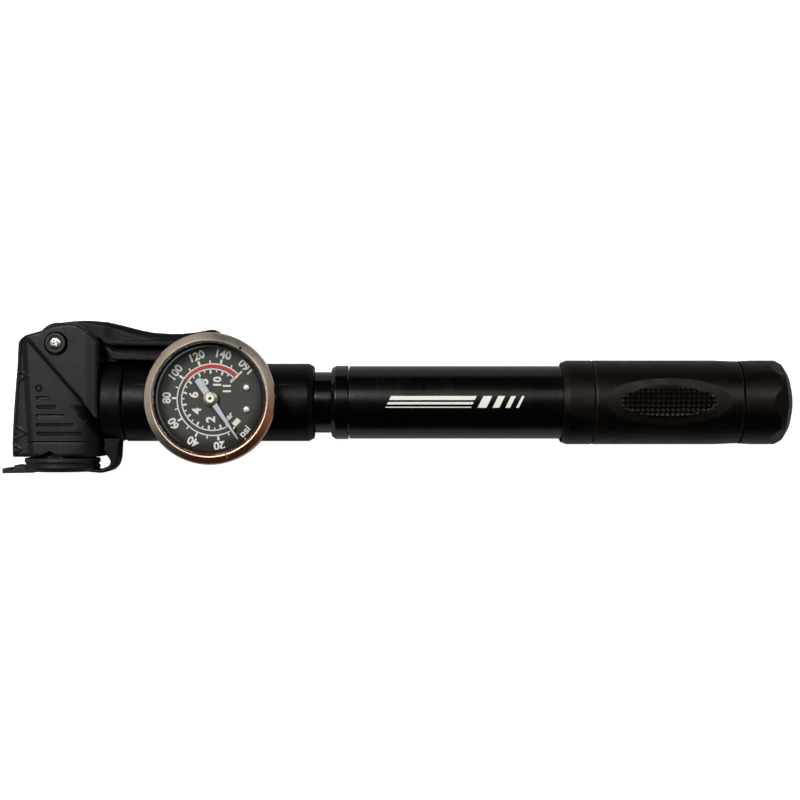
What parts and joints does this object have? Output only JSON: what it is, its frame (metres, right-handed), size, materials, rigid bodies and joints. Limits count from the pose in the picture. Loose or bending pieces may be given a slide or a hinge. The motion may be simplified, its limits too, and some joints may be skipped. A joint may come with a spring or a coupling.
{
  "type": "mini bicycle pump with pressure gauge",
  "caption": "Slim hand pump for bicycle tyres: thumb-lock valve head with a strapped dust cap, inline dial pressure gauge, tubular barrel and a sliding grip.",
  "frame": {"origin": "on the valve bore's axis, on the flat back of the valve head that the pump lies on", "axes": "+X from the valve head to the grip, along the barrel; +Y to the side that the thumb lever is on, so the valve mouth opens to -Y; +Z the way the gauge's dial faces"},
  "size_m": [0.2387, 0.0461, 0.0353],
  "materials": {
    "head_charcoal": "moulded matte charcoal",
    "lever_charcoal": "moulded matte charcoal",
    "black_plastic": "satin black",
    "bush_plastic": "satin dark grey",
    "steel": "bright zinc plated",
    "acetal": "natural acetal",
    "seal_rubber": "moulded nitrile",
    "cap_rubber": "moulded soft rubber",
    "barrel_black": "black anodised, satin gloss",
    "rod_alloy": "drawn bright alloy",
    "grip_brown": "warm brown-black, fine matte",
    "case_steel": "plated pressed steel",
    "bezel_chrome": "bright chrome",
    "lens_clear": "clear",
    "dial_grey": "printed dark grey dial",
    "needle_blue": "pale blue-grey enamel",
    "brass": "plain brass"
  },
  "bodies": {
    "pump_body": {"head_body": "head_charcoal", "lever_pin": "steel", "lever_bush_front": "bush_plastic", "lever_bush_rear": "bush_plastic", "valve_gasket": "seal_rubber", "valve_collar": "bush_plastic", "strap_ring": "cap_rubber", "gauge_housing": "black_plastic", "stem_o_ring": "seal_rubber", "check_spring": "steel", "front_cap": "black_plastic", "front_cap_o_ring": "seal_rubber", "barrel_o_ring": "seal_rubber", "barrel": "barrel_black", "rod_guide": "acetal", "stroke_bumper": "seal_rubber", "gauge_case": "case_steel", "gauge_bezel": "bezel_chrome", "gauge_lens": "lens_clear", "gauge_dial": "dial_grey", "dial_screw_1": "brass", "dial_screw_2": "brass", "needle_stop_pin": "brass", "movement_plate": "brass", "sector_pivot": "brass", "bourdon_tube": "brass", "bourdon_link": "brass", "gauge_socket": "brass"},
    "handle": {"piston_rod": "rod_alloy", "piston": "acetal", "piston_seal": "seal_rubber", "piston_screw": "steel", "grip_collar": "grip_brown", "grip_body": "grip_brown", "grip_end_cap": "grip_brown", "rod_pin": "steel"},
    "lever": {"lock_lever": "lever_charcoal"},
    "follower": {"cam_follower": "acetal", "follower_o_ring": "seal_rubber", "valve_pin": "brass"},
    "needle": {"gauge_needle": "needle_blue", "needle_cap": "brass", "needle_arbor": "brass"},
    "sector": {"sector_gear": "brass"},
    "poppet": {"check_valve": "acetal"},
    "cap": {"dust_cap": "cap_rubber"}
  },
  "joints": [
    {"name": "pump_stroke", "type": "slide", "parent": "pump_body", "child": "handle", "axis": [1, 0, 0], "range_m": [0, 0.08]},
    {"name": "lever_lock", "type": "hinge", "parent": "pump_body", "child": "lever", "pos_m": [0, 0.0176, 0.0127], "axis": [0, 0, 1], "range_deg": [0, 90]},
    {"name": "follower_slide", "type": "slide", "parent": "pump_body", "child": "follower", "axis": [0, -1, 0], "range_m": [0, 0.0021]},
    {"name": "needle_turn", "type": "hinge", "parent": "pump_body", "child": "needle", "pos_m": [0.0469, 0.0011, 0.0306], "axis": [0, 0, -1], "range_deg": [0, 262]},
    {"name": "sector_turn", "type": "hinge", "parent": "pump_body", "child": "sector", "pos_m": [0.03835, -0.00201, 0.0259], "axis": [0, 0, 1], "range_deg": [0, 47.27]},
    {"name": "check_valve_lift", "type": "slide", "parent": "pump_body", "child": "poppet", "axis": [-1, 0, 0], "range_m": [0, 0.0012], "stiffness_N_per_m": 150, "springref_m": -0.001, "deforming": ["check_spring"]},
    {"name": "cap_swing", "type": "hinge", "parent": "pump_body", "child": "cap", "pos_m": [0.0177, -0.0156, 0.0127], "axis": [0, 0, 1], "range_deg": [0, 110]}
  ],
  "couplings": [
    {"joint": "follower_slide", "follows": "lever_lock", "m_per_rad": 0.0012732},
    {"joint": "needle_turn", "follows": "sector_turn", "ratio": 5.5}
  ]
}
